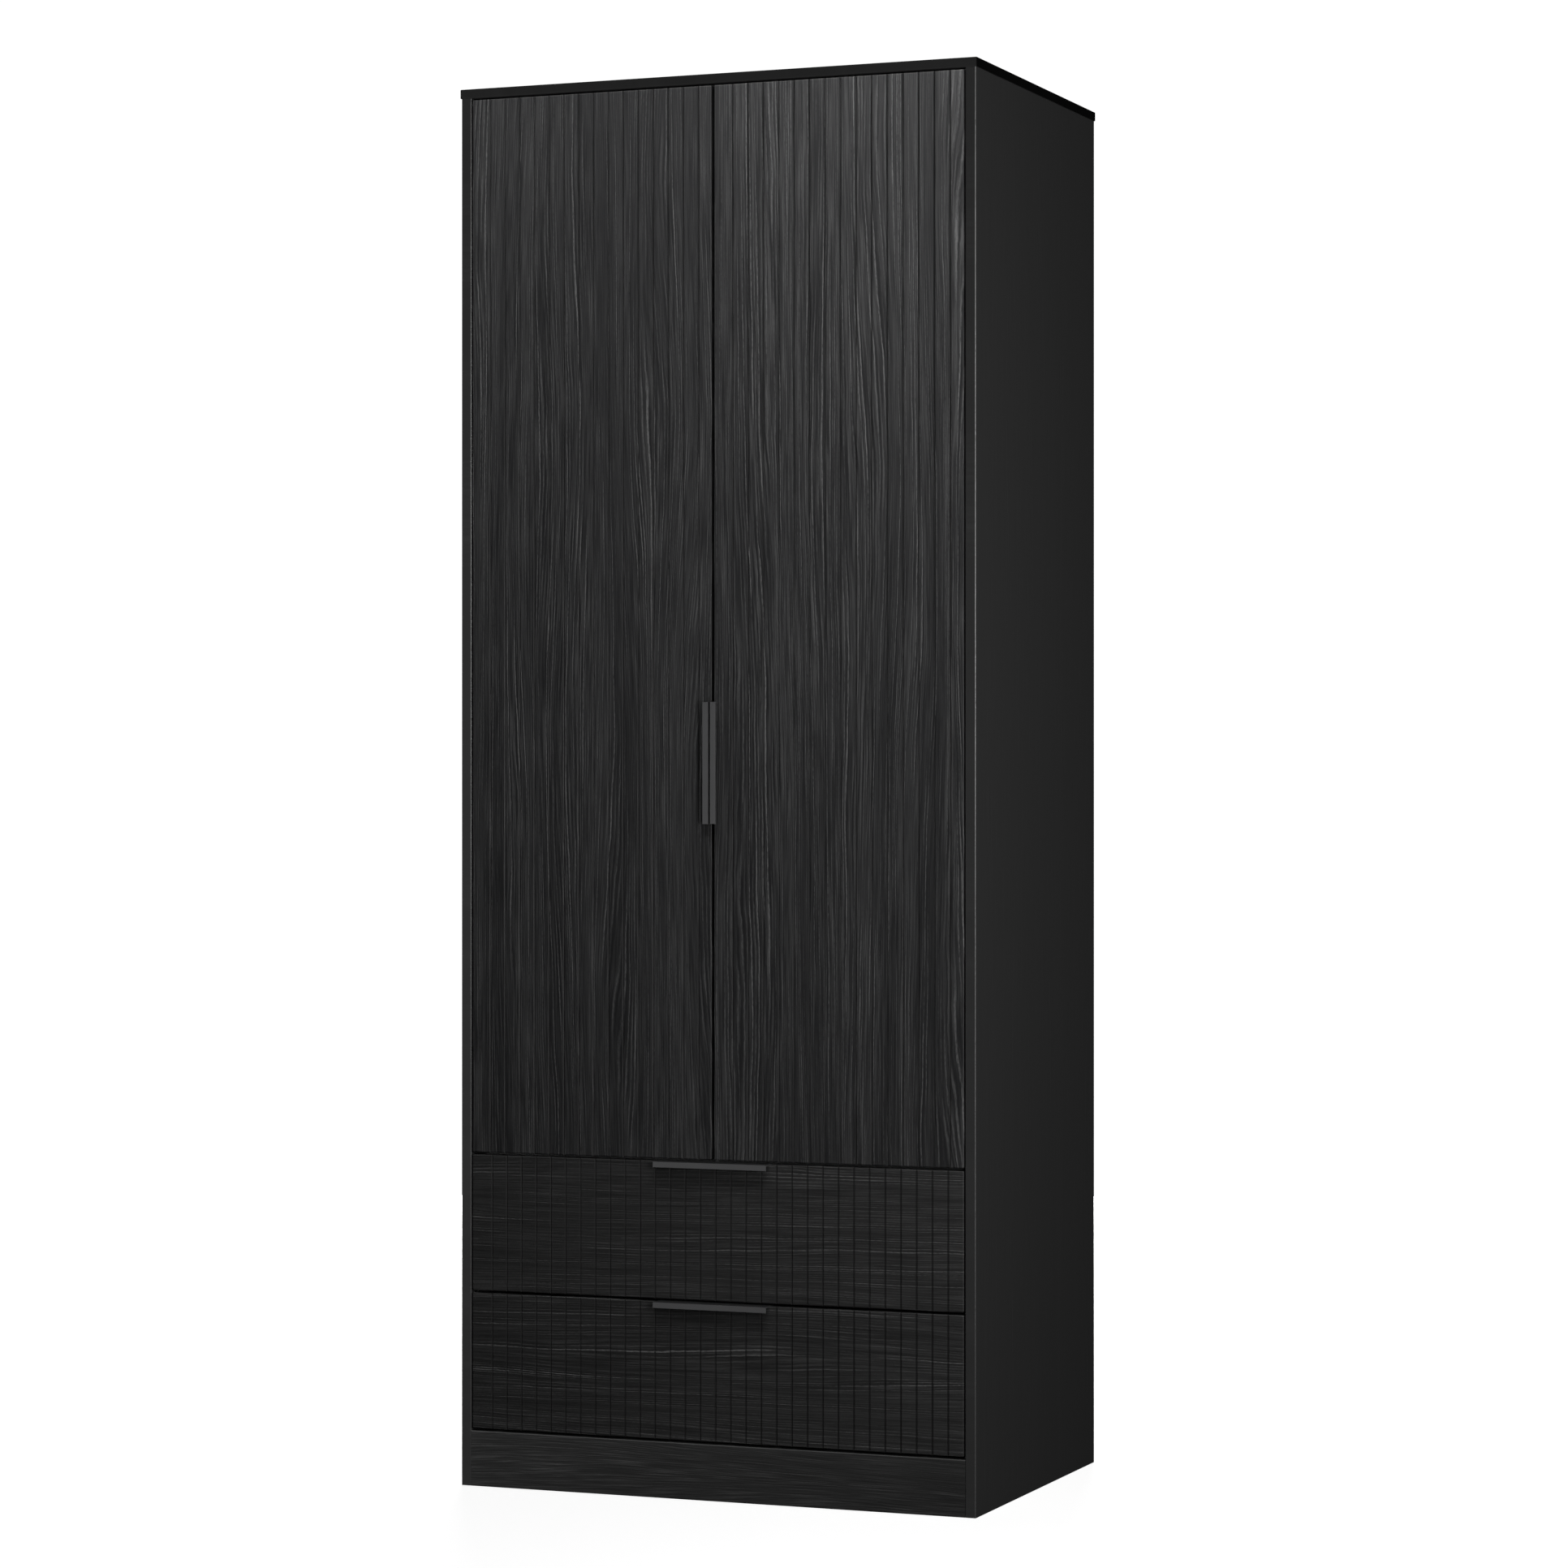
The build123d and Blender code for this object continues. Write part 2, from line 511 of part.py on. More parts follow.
for side_name, side in SIDES:
    with BuildPart() as runner_channels:
        for rail in RAIL_UNDERSIDES.values():
            top = rail - CHANNEL_DROP
            bottom = top - CHANNEL_HEIGHT
            web = (side * (INNER - SHEET), side * INNER)
            flange = (side * CHANNEL_IN, side * INNER)
            board(web, (CHANNEL_START, CHANNEL_END), (bottom, top))
            board(flange, (CHANNEL_START, CHANNEL_END), (bottom, bottom + SHEET))
            board(flange, (CHANNEL_START + CHANNEL_MOUTH, CHANNEL_END), (top - SHEET, top))
            rod((side * (INNER - SHEET), FRONT_WHEEL_Y, rail - FRONT_WHEEL_DROP), (-side, 0, 0),
                WHEEL_PIN_RADIUS, INNER - SHEET - WHEEL_IN + 0.6)
            for y in RUNNER_SCREW_YS:
                rod((side * (INNER - SHEET), y, (top + bottom) / 2), (side, 0, 0), SCREW_HEAD_RADIUS,
                    SHEET, mode=Mode.SUBTRACT)
    save(runner_channels, f"{side_name}_runner_channels")

with BuildPart() as carcass_screws:
    for _, side in SIDES:
        for rail in RAIL_UNDERSIDES.values():
            for y in RUNNER_SCREW_YS:
                z = rail - CHANNEL_DROP - CHANNEL_HEIGHT / 2
                rod((side * (INNER - SHEET), y, z), (side, 0, 0), SCREW_HEAD_RADIUS, SHEET)
                rod((side * INNER, y, z), (side, 0, 0), SCREW_SHANK_RADIUS, SCREW_BITE)
        for z in HINGE_HEIGHTS:
            for step in (-PLATE_SCREW_STEP, PLATE_SCREW_STEP):
                screw((side * (INNER - 2), PLATE_START + 11, z + step), (side, 0, 0))
        for step in (-SOCKET_SCREWS, SOCKET_SCREWS):
            screw((side * (INNER - SOCKET_FLANGE), RAIL_Y, RAIL_HEIGHT + step), (side, 0, 0))
save(carcass_screws, "carcass_screws")


def wheels(y, z):
    """A left and a right wheel that turn about one line across the wardrobe."""
    for _, side in SIDES:
        rod((side * WHEEL_IN, y, z), (side, 0, 0), WHEEL_RADIUS, WHEEL_WIDTH)
        rod((side * WHEEL_IN, y, z), (side, 0, 0), WHEEL_PIN_RADIUS + WHEEL_BORE_CLEARANCE, WHEEL_WIDTH,
            mode=Mode.SUBTRACT)


for name, front_bottom in DRAWERS:
    front_top = front_bottom + DRAWER_FRONT_HEIGHT
    box_bottom = front_bottom + DRAWER_LIFT
    box_top = box_bottom + DRAWER_BOX_HEIGHT
    base_z = box_bottom + BASE_LIFT
    rail = RAIL_UNDERSIDES[name]
    inside = DRAWER_HALF - DRAWER_SIDE
    base_half = inside + BASE_GROOVE
    box_y = (FRONT_BACK, DRAWER_BACK_END)
    screw_points = [(step, FLANGE_BACK, front_top - PULL_SCREW_INSET) for step in PULL_SCREW_STEPS]

    with BuildPart() as drawer_front:
        with BuildSketch(Plane.XZ.offset(-FRONT_BACK)):
            with Locations((0, (front_bottom + front_top) / 2)):
                RectangleRounded(2 * FRONT_EDGE, DRAWER_FRONT_HEIGHT, FRONT_CORNER)
        extrude(amount=FRONT_THICK)
        fillet(drawer_front.faces().sort_by(Axis.Y)[0].edges(), FRONT_ARRIS)
        flutes_up(0, (front_bottom, front_top), DRAWER_FLUTES)
        board((-HANDLE_LENGTH / 2, HANDLE_LENGTH / 2), (FRONT - 1, FRONT_BACK + 1),
              (front_top - HANDLE_SHEET, front_top + 1), mode=Mode.SUBTRACT)
        board((-base_half, base_half), (FRONT_BACK - BASE_GROOVE, FRONT_BACK + 1),
              (base_z, base_z + BASE_THICK), mode=Mode.SUBTRACT)
    save(drawer_front, f"{name}_drawer_front")

    with BuildPart() as drawer_pull:
        with BuildSketch(Plane.YZ.offset(-HANDLE_LENGTH / 2)):
            Polygon(*[(y, front_top - depth) for depth, y in PULL_SECTION])
        extrude(amount=HANDLE_LENGTH)
        fillet(drawer_pull.faces().sort_by(Axis.Y)[0].edges(), LIP_ARRIS)
        for point in screw_points:
            rod(point, (0, -1, 0), SCREW_SHANK_RADIUS, HANDLE_SHEET, mode=Mode.SUBTRACT)
    save(drawer_pull, f"{name}_drawer_pull")

    for side_name, side in SIDES:
        with BuildPart() as drawer_side:
            board((side * inside, side * DRAWER_HALF), box_y, (box_bottom, box_top))
            board((side * (inside - 1), side * base_half), (FRONT_BACK - 1, DRAWER_BACK_END + 1),
                  (base_z, base_z + BASE_THICK), mode=Mode.SUBTRACT)
        save(drawer_side, f"{name}_drawer_{side_name}_side")

    with BuildPart() as drawer_back:
        board((-inside, inside), (DRAWER_BACK_END - DRAWER_SIDE, DRAWER_BACK_END),
              (base_z + BASE_THICK, box_top))
    save(drawer_back, f"{name}_drawer_back")

    with BuildPart() as drawer_base:
        board((-base_half, base_half), (FRONT_BACK - BASE_GROOVE, DRAWER_BACK_END),
              (base_z, base_z + BASE_THICK))
    save(drawer_base, f"{name}_drawer_base")

    rear_wheel_z = rail - REAR_WHEEL_DROP
    with BuildPart() as drawer_rails:
        for _, side in SIDES:
            leaf = (side * DRAWER_HALF, side * (DRAWER_HALF + SHEET))
            board((side * (DRAWER_HALF - 11), side * (WHEEL_OUT - 1)), (FRONT_BACK + 2, CHANNEL_END),
                  (rail, box_bottom))
            board(leaf, (FRONT_BACK + 2, CHANNEL_END), (box_bottom, box_bottom + 9))
            board(leaf, (REAR_WHEEL_Y - 9, CHANNEL_END), (rear_wheel_z - 5, rail))
            rod((side * (DRAWER_HALF + SHEET), REAR_WHEEL_Y, rear_wheel_z), (side, 0, 0),
                WHEEL_PIN_RADIUS, WHEEL_OUT - DRAWER_HALF - SHEET + 0.4)
            for y in (FRONT_BACK + 50, CHANNEL_END - 60):
                rod((side * (DRAWER_HALF - 6), y, rail), (0, 0, 1), SCREW_SHANK_RADIUS, SHEET,
                    mode=Mode.SUBTRACT)
    save(drawer_rails, f"{name}_drawer_rails")

    with BuildPart() as drawer_screws:
        for point in screw_points:
            screw(point, (0, -1, 0), PULL_SCREW_BITE)
        for _, side in SIDES:
            for y in (FRONT_BACK + 50, CHANNEL_END - 60):
                screw((side * (DRAWER_HALF - 6), y, rail), (0, 0, 1), SHEET + 9)
            for z in (box_bottom + 40, box_top - 30):
                screw((side * DRAWER_HALF, DRAWER_BACK_END - DRAWER_SIDE / 2, z), (-side, 0, 0),
                      DRAWER_SIDE + 26)
    save(drawer_screws, f"{name}_drawer_screws")

    with BuildPart() as front_wheels:
        wheels(FRONT_WHEEL_Y, rail - FRONT_WHEEL_DROP)
    save(front_wheels, f"{name}_front_wheels")

    with BuildPart() as rear_wheels:
        wheels(REAR_WHEEL_Y, rear_wheel_z)
    save(rear_wheels, f"{name}_rear_wheels")
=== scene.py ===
# %% [markdown]
# # A black fluted wardrobe
# This lesson dresses a finished wardrobe model: boards, doors, drawers and fittings come in
# as a fixed frame, and each one gets its finish here. Nothing in the frame is moved.
# Every length below is in metres. X runs to the right, -Y is the front and Z is up.

# %% Load the frame
import bpy
import math
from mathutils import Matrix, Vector

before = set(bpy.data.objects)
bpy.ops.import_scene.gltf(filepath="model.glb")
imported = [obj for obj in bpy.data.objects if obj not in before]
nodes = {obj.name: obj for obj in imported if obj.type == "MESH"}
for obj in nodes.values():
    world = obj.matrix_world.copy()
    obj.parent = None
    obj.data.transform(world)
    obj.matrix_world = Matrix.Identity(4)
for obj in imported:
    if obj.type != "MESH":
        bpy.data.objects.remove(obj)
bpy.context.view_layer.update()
print("parts in the frame:", len(nodes))

# %% [markdown]
# ## Writing shader maths as plain sums
# A grain pattern is arithmetic on coordinates, and wiring dozens of Math nodes by hand hides
# that. A small class wraps one output socket and turns +, - and * into Math nodes, so a
# pattern reads like the formula it is. The reflected forms let a number stand on the left.


# %% A socket that can be calculated with
class Value:
    """An output socket. Sums on it add Math nodes to its node tree."""

    def __init__(self, finish, socket):
        self.finish = finish
        self.socket = socket

    def maths(self, operation, *others):
        """One Math node, with this value first."""
        inputs = {place: other for place, other in enumerate((self, *others))}
        return self.finish.node("ShaderNodeMath", {"operation": operation}, inputs)

    def __add__(self, other):
        return self.maths("ADD", other)

    __radd__ = __add__

    def __mul__(self, other):
        return self.maths("MULTIPLY", other)

    __rmul__ = __mul__

    def __sub__(self, other):
        return self.maths("SUBTRACT", other)

    def __rsub__(self, other):
        return self * -1 + other

    def between(self, low, high):
        """0 below low, 1 above high and a smooth rise between them."""
        settings = {"interpolation_type": "SMOOTHSTEP"}
        inputs = {"Value": self, "From Min": low, "From Max": high}
        return self.finish.node("ShaderNodeMapRange", settings, inputs)


print("a socket now takes +, -, * and between()")

# %% [markdown]
# ## One maker for every finish
# Each finish starts as a Principled shader. The same method adds any other node: it sets the
# node's options first, because they can change its sockets, and then fills the sockets with
# numbers or links. A value that is the same all over a surface is set on the shader itself.


# %% A finish and its nodes
class Finish:
    """A procedural material with a Principled shader at its end."""

    def __init__(self, name, **constants):
        self.material = bpy.data.materials.new(name)
        self.material.use_nodes = True
        self.tree = self.material.node_tree
        self.tree.nodes.clear()
        self.end = self.tree.nodes.new("ShaderNodeOutputMaterial")
        self.shader = self.tree.nodes.new("ShaderNodeBsdfPrincipled")
        self.tree.links.new(self.shader.outputs["BSDF"], self.end.inputs["Surface"])
        self.paint(**constants)

    def fill(self, node, inputs):
        """Put numbers, colours or links into a node's input sockets."""
        for name, value in inputs.items():
            if isinstance(value, Value):
                self.tree.links.new(value.socket, node.inputs[name])
            else:
                node.inputs[name].default_value = value

    def node(self, kind, settings=None, inputs=None, output=0):
        """Add a node, set its options, then its sockets, and give one output back."""
        node = self.tree.nodes.new(kind)
        for name, value in (settings or {}).items():
            setattr(node, name, value)
        self.fill(node, inputs or {})
        return Value(self, node.outputs[output])

    def paint(self, **inputs):
        """Feed the shader's own sockets."""
        self.fill(self.shader, {name.replace("_", " "): value for name, value in inputs.items()})

    def split(self, output):
        """X, Y and Z of one of the object's own coordinates."""
        inputs = {"Vector": self.node("ShaderNodeTexCoord", output=output)}
        parted = self.node("ShaderNodeSeparateXYZ", None, inputs)
        return [Value(self, socket) for socket in parted.socket.node.outputs]

    def place(self):
        """Where a point is on the object, as three values."""
        return self.split("Object")

    def facing(self, axis):
        """1 where the surface faces along an axis of the object and 0 where it lies along it."""
        return self.split("Normal")[axis].maths("ABSOLUTE")

    def vector(self, x, y, z):
        """Three values or numbers as one vector."""
        return self.node("ShaderNodeCombineXYZ", None, {"X": x, "Y": y, "Z": z})

    def noise(self, vector, scale=1.0, detail=2.0, roughness=0.5):
        """Soft noise from 0 to 1 at a vector."""
        inputs = {"Vector": vector, "Scale": scale, "Detail": detail, "Roughness": roughness}
        return self.node("ShaderNodeTexNoise", None, inputs)

    def blend(self, amount, first, second):
        """A colour between two colours."""
        inputs = {"Factor": amount, 6: first, 7: second}
        return self.node("ShaderNodeMix", {"data_type": "RGBA"}, inputs, 2)

    def bump(self, height, strength, distance):
        """A normal that follows a height."""
        inputs = {"Height": height, "Strength": strength, "Distance": distance}
        self.paint(Normal=self.node("ShaderNodeBump", None, inputs))


print("finish maker ready:", [name for name in vars(Finish) if name[0] != "_"])

# %% [markdown]
# ## Black wood-grain foil
# The boards are wrapped in printed foil: near black, with thin pale grain lines that run with
# the board. Real grain is a set of growth rings cut through, so the print is drawn on a warped
# ruler: the distance across the board, pushed sideways by noise that is long in the grain's
# direction. Where the warp doubles back on itself, the lines close into long pointed arches,
# as in a real flat-sawn board. Broad arches, a slow wander and a fine jag are added in turn.

# %% A ruler across the grain
# Waves per metre across and along the grain, the sway in metres, the detail and the seed's step.
ARCH = (13.0, 1.2, 0.065, 0.5, 0.0)
WANDER = (30.0, 9.0, 0.004, 1.0, 1.7)
JAG = (210.0, 75.0, 0.0011, 2.0, 3.1)


def grain_ruler(finish, run, spread, seed):
    """Distance across the grain in metres, warped so that equal values follow one fibre."""
    ruler = spread
    for across, along, sway, detail, step in (ARCH, WANDER, JAG):
        wave = finish.noise(finish.vector(spread * across, run * along, seed + step), detail=detail)
        ruler = ruler + wave * sway
    return ruler


print("largest sway of the grain:", ARCH[2])

# %% [markdown]
# ## Streaks
# Everything else in the print is noise that is squeezed across the grain and stretched along
# it. Read off the warped ruler, a streak bends with the grain. A pitch says how close the
# streaks lie, as waves per metre across and along the grain.


# %% Streaks along the grain
def streaks(finish, pitch, across, run, seed, detail=1.0, roughness=0.5):
    """Noise from 0 to 1 with its own pitch across and along the grain."""
    vector = finish.vector(across * pitch[0], seed, run * pitch[1])
    return finish.noise(vector, detail=detail, roughness=roughness)


print("streaks can be drawn at any pitch")

# %% [markdown]
# ## Growth rings
# The ruler is cut into rings a few millimetres wide. Each ring holds one thin pale line with
# a dark side, like an embossed pore. Its strength is drawn from its own number, and it fades
# in and out along the board, because a print never keeps one strength. The ring width drifts,
# so the lines crowd and spread.

# %% Ring lines
RINGS_PER_METRE = 290.0
DRIFT_IN_RINGS = 2.6
DRIFT_PITCH = (42.0, 0.2)
# The first number of this pitch counts per ring instead of per metre.
FADE_PITCH = (0.61, 3.2)
LINE_HALF_WIDTH = 0.24
LINE_SHARPNESS = 1 / LINE_HALF_WIDTH
PALE_LINE_AT = 0.5
DARK_LINE_AT = 0.82
DARK_SHARE = 0.35
FAINTEST_RING = 0.2
FAINTEST_STRETCH = 0.2


def ring_lines(finish, ruler, run, seed):
    """Thin lines, one in each ring: pale above 0 and dark below 0."""
    drift = streaks(finish, DRIFT_PITCH, ruler, run, seed)
    phase = ruler * RINGS_PER_METRE + drift * DRIFT_IN_RINGS
    ring = phase.maths("FLOOR")
    inside = phase - ring
    own = finish.node("ShaderNodeTexWhiteNoise", {"noise_dimensions": "1D"}, {"W": ring + seed})
    fade = streaks(finish, FADE_PITCH, ring, run, seed + 2.0, detail=2.0).between(0.36, 0.66)

    def ridge(middle):
        """1 on a line and 0 a half width away from it."""
        return 1 - ((inside - middle).maths("ABSOLUTE") * LINE_SHARPNESS).maths("MINIMUM", 1.0)

    line = ridge(PALE_LINE_AT) - ridge(DARK_LINE_AT) * DARK_SHARE
    return line * (own * own * (1 - FAINTEST_RING) + FAINTEST_RING) * (fade + FAINTEST_STRETCH)


print("ring width:", round(1 / RINGS_PER_METRE, 4))

# %% [markdown]
# ## The print
# Rings, quick fine fibres and broad clouds are read off the same ruler, so they bend together.
# Beads break the lines into short dashes, and busy bands carry more grain than calm ones. The
# sum is one tone from black to pale, and a second sum gives the height of the embossing.

# %% The print
BEADS = (700.0, 190.0)
BANDS = (21.0, 1.3)
FIBRES = (780.0, 10.0)
CLOUDS = (30.0, 0.7)
BASE_TONE = 0.14
CLOUD_TONE = 0.10


def foil_print(finish, run, spread, seed, line, fibre, cloud):
    """Tone and height of the print, with shares of lines, fibres and clouds."""
    ruler = grain_ruler(finish, run, spread, seed)
    beads = streaks(finish, BEADS, spread, run, seed + 4.0).between(0.3, 0.62)
    lines = ring_lines(finish, ruler, run, seed + 20.0) * (beads * 0.7 + 0.5)
    busy = streaks(finish, BANDS, ruler, run, seed + 8.0).between(0.36, 0.62)
    fibres = streaks(finish, FIBRES, ruler, run, seed + 6.0, detail=2.0, roughness=0.65)
    clouds = streaks(finish, CLOUDS, ruler, run, seed + 10.0, detail=2.0).between(0.36, 0.64)
    tone = (clouds * CLOUD_TONE * cloud + (fibres - 0.5) * (busy * 0.5 + 0.8) * fibre
            + lines * (busy * 0.3 + 0.5) * line + BASE_TONE)
    return tone, fibres * 0.4 + lines * 0.6


print("fibres per metre across the grain:", FIBRES[0])

# %% [markdown]
# ## The foil itself
# The tone blends a black with a pale grey. A rounded arris is painted paler, a painted
# highlight, and has a smooth coat, so it catches a thin line of light. Faces that lean toward X,
# such as the walls of the cut flutes and the side edges of the fronts, can be painted near black
# as painted shade, and the ends of the top are painted darker. They lose their sheen as well: a
# metal's reflection takes its colour from Base Color, so a black that is partly metallic stays
# dark in any light.

# %% The foil
AXES = {"X": 0, "Y": 1, "Z": 2}
GLOSS_OF_PALE = 0.08
# How far a rounded arris is painted toward the pale grey: a painted highlight.
ARRIS_PAINTED_HIGHLIGHT = 0.9
ARRIS_COAT = 0.6
ARRIS_ROUGHNESS = 0.3
# The near black painted on faces that lean toward X: painted shade in the flutes and the gaps
# beside the fronts.
PAINTED_SHADE_BLACK = 0.004
FOIL_RELIEF = 0.00015


def grey(level, tint=0.0):
    """A neutral colour, a little bluer with tint."""
    return (level, level, level * (1 + tint), 1)


def foil(name, along, across, seed, black, pale, line=1.0, fibre=1.0, cloud=1.0, rough=0.46,
         shine=0.35, painted_shade_share=0.0, arris=None, tint=0.0):
    """Dark foil whose grain runs along one axis and is spread across another."""
    finish = Finish(name, Specular_IOR_Level=shine, Coat_Roughness=ARRIS_ROUGHNESS)
    place = finish.place()
    tone, height = foil_print(finish, place[AXES[along]], place[AXES[across]], seed, line, fibre,
                              cloud)
    colour = finish.blend(tone.between(0.0, 1.0), grey(black, tint), grey(pale))
    # A rounded arris is painted paler as a painted highlight, and gets a smooth coat.
    if arris:
        first, second = [finish.facing(AXES[axis]) for axis in arris]
        arris_highlight_mask = (first * second * 2.0).between(0.2, 1.0)
        colour = finish.blend(arris_highlight_mask * ARRIS_PAINTED_HIGHLIGHT, colour, grey(pale))
        finish.paint(Coat_Weight=arris_highlight_mask * ARRIS_COAT)
    # Faces that lean toward X are painted near black with no sheen: painted shade in the flutes and
    # the gaps, and darker ends on the top.
    painted_x_shade = finish.facing(AXES["X"]).between(0.4, 0.65) * painted_shade_share
    colour = finish.blend(painted_x_shade, colour, grey(PAINTED_SHADE_BLACK))
    finish.paint(Base_Color=colour, Roughness=rough - tone * GLOSS_OF_PALE, Metallic=painted_x_shade)
    finish.bump(height, 0.6, FOIL_RELIEF)
    return finish


print("foil relief:", FOIL_RELIEF)

# %% [markdown]
# ## Fluted fronts
# The grain stands upright on the doors and lies level on the drawer fronts, which carry a calmer
# print. One function makes all four. Each front has its own seed, so that no two are alike, and
# a part's old finish is cleared before it gets the new one.

# %% Fronts
SIDES = ("left", "right")
DRAWERS = ("upper", "lower")
DOORS = [f"{side}_door" for side in SIDES]
DRAWER_FRONTS = [f"{drawer}_drawer_front" for drawer in DRAWERS]


def dress(finish, *names):
    """Give a finish to the named parts of the frame."""
    for name in names:
        slots = nodes[name].data.materials
        slots.clear()
        slots.append(finish.material)
    print(finish.material.name, "on", ", ".join(names))


for door, seed in zip(DOORS, (2.0, 9.4)):
    dress(foil(f"{door}_foil", "Z", "X", seed, 0.008, 0.112, painted_shade_share=0.45, tint=0.08), door)
for front, seed in zip(DRAWER_FRONTS, (4.1, 6.7)):
    dress(foil(f"{front}_foil", "X", "Z", seed, 0.0115, 0.118, line=0.85, fibre=0.75,
               cloud=0.3, painted_shade_share=0.6), front)

# %% [markdown]
# ## Quieter foil on the body
# The side panels, plinth and top carry the same foil with a fainter print, so the fluted fronts
# stand out. The same function serves, with less contrast and a flatter sheen.

# %% Body foil
SIDE_PANELS = [f"{side}_side_panel" for side in SIDES]
QUIET = {"line": 0.4, "fibre": 0.5, "cloud": 0.6, "rough": 0.68, "shine": 0.25}
dress(foil("side_foil", "Z", "Y", 12.0, 0.024, 0.05, arris="XY", **QUIET), *SIDE_PANELS)
dress(foil("plinth_foil", "X", "Z", 15.0, 0.009, 0.115, line=0.3, fibre=1.3, cloud=0.5, rough=0.55,
           arris="YZ"), "plinth")
# The top's ends, which face X, are painted darker.
dress(foil("top_foil", "X", "Y", 18.0, 0.022, 0.045, painted_shade_share=0.75, **QUIET), "top_panel")

# %% [markdown]
# ## Foil on the boards inside
# Shelves, rails and drawer boxes show their flat faces in different directions, and grain must
# lie in the face that shows. One black and one pale serve for all of them, and only the two
# axes change with the way each board lies.

# %% Inner boards
INNER_BLACK = 0.018
INNER_PALE = 0.05
INNER_BOARDS = (
    ("shelf_foil", "X", "Y", 21.0, ("bottom_panel", "divider_shelf", "hat_shelf")),
    ("rail_board_foil", "X", "Z", 24.0, ("top_rail", "rear_plinth")),
    ("drawer_box_foil", "Y", "Z", 27.0,
     [f"{drawer}_drawer_{side}_side" for drawer in DRAWERS for side in SIDES]),
    ("drawer_back_foil", "X", "Z", 30.0, [f"{drawer}_drawer_back" for drawer in DRAWERS]),
)
for name, along, across, seed, boards in INNER_BOARDS:
    dress(foil(name, along, across, seed, INNER_BLACK, INNER_PALE, line=0.3), *boards)

# %% [markdown]
# ## Painted hardboard
# The back and the drawer bases are thin hardboard, painted on the face. Pressed fibre leaves
# a fine random mottle, which small-scale noise gives in colour and in relief.

# %% Hardboard
FLECKS_PER_METRE = 900.0
BLOTCHES_PER_METRE = 14.0


def hardboard():
    """Dark painted hardboard."""
    finish = Finish("hardboard")
    place = finish.vector(*finish.place())
    flecks = finish.noise(place, FLECKS_PER_METRE, 3.0, 0.7)
    blotches = finish.noise(place, BLOTCHES_PER_METRE)
    finish.paint(
        Base_Color=finish.blend(flecks * 0.6 + blotches * 0.4, grey(0.015), grey(0.034)),
        Roughness=0.6 + flecks * 0.2,
    )
    finish.bump(flecks, 0.4, 0.0002)
    return finish


dress(hardboard(), "upper_back_panel", "lower_back_panel", "upper_drawer_base", "lower_drawer_base")

# %% [markdown]
# ## Powder-coated steel
# The edge pulls are folded sheet with a fine-textured anthracite powder coat, and the runners
# have a darker one. Powder flows into a slight orange peel, so a small noise drives the relief.
# A broad noise stands for handling and drives the gloss, and both mottle the colour a little.

# %% Powder coat
PEEL_PER_METRE = 2400.0
HANDLING_PER_METRE = 22.0


def powder_coat(name, dark, light):
    """Fine-textured powder coat."""
    finish = Finish(name)
    place = finish.vector(*finish.place())
    peel = finish.noise(place, PEEL_PER_METRE)
    handling = finish.noise(place, HANDLING_PER_METRE, 3.0)
    finish.paint(
        Base_Color=finish.blend(peel * 0.5 + handling * 0.5, grey(dark, 0.03), grey(light, 0.03)),
        Roughness=0.42 + handling * 0.12,
    )
    finish.bump(peel, 0.35, 0.00006)
    return finish


MOVING = [*DOORS, *[f"{drawer}_drawer" for drawer in DRAWERS]]
dress(powder_coat("pull_metal", 0.058, 0.086), *[f"{moving}_pull" for moving in MOVING])
dress(powder_coat("runner_steel", 0.03, 0.05),
      "left_runner_channels", "right_runner_channels", "upper_drawer_rails", "lower_drawer_rails")

# %% [markdown]
# ## Plated metal
# The garment rail is chromed tube, the hinges are nickel plated and the fasteners are zinc.
# All are metals that differ in colour, gloss and the direction of their fine scratches. A rail
# is drawn through a die, so its scratches run along it: few waves per metre that way and many
# across. On the small parts they run no way in particular.

# %% Plated metal
BLOOM_PER_METRE = 60.0


def plated(name, dark, light, rough, scratches):
    """Bright plated metal with fine scratches, given in waves per metre along X, Y and Z."""
    finish = Finish(name, Metallic=1.0)
    place = finish.place()
    squeezed = [value * pitch for value, pitch in zip(place, scratches)]
    lines = finish.noise(finish.vector(*squeezed), detail=3.0, roughness=0.6)
    bloom = finish.noise(finish.vector(*place), BLOOM_PER_METRE)
    finish.paint(
        Base_Color=finish.blend(lines * 0.5 + bloom * 0.5, grey(dark), grey(light, 0.02)),
        Roughness=rough + lines * 0.12 + bloom * 0.06,
    )
    finish.bump(lines, 0.15, 0.00004)
    return finish


dress(plated("rail_chrome", 0.62, 0.8, 0.06, (20.0, 900.0, 900.0)), "hanging_rail")
dress(plated("hinge_steel", 0.45, 0.62, 0.22, (500.0, 500.0, 500.0)),
      *[f"{side}_hinge_{piece}" for side in SIDES for piece in ("cups", "plates", "arms")])
dress(plated("fastener_zinc", 0.42, 0.6, 0.3, (700.0, 700.0, 700.0)),
      "back_nails", "cam_bolts", "cam_locks", "shelf_pins",
      *[f"{body}_screws" for body in ("carcass", *MOVING)])

# %% [markdown]
# ## Mouldings and dowels
# The wheels and sockets are moulded, the bumpers are soft and the dowels are bare beech. A
# moulding's skin is a tiny even noise, and beech is a warm pale wood with the same fine flecks.

# %% Mouldings and dowels
SKIN_PER_METRE = 3200.0
SHADING_PER_METRE = 40.0


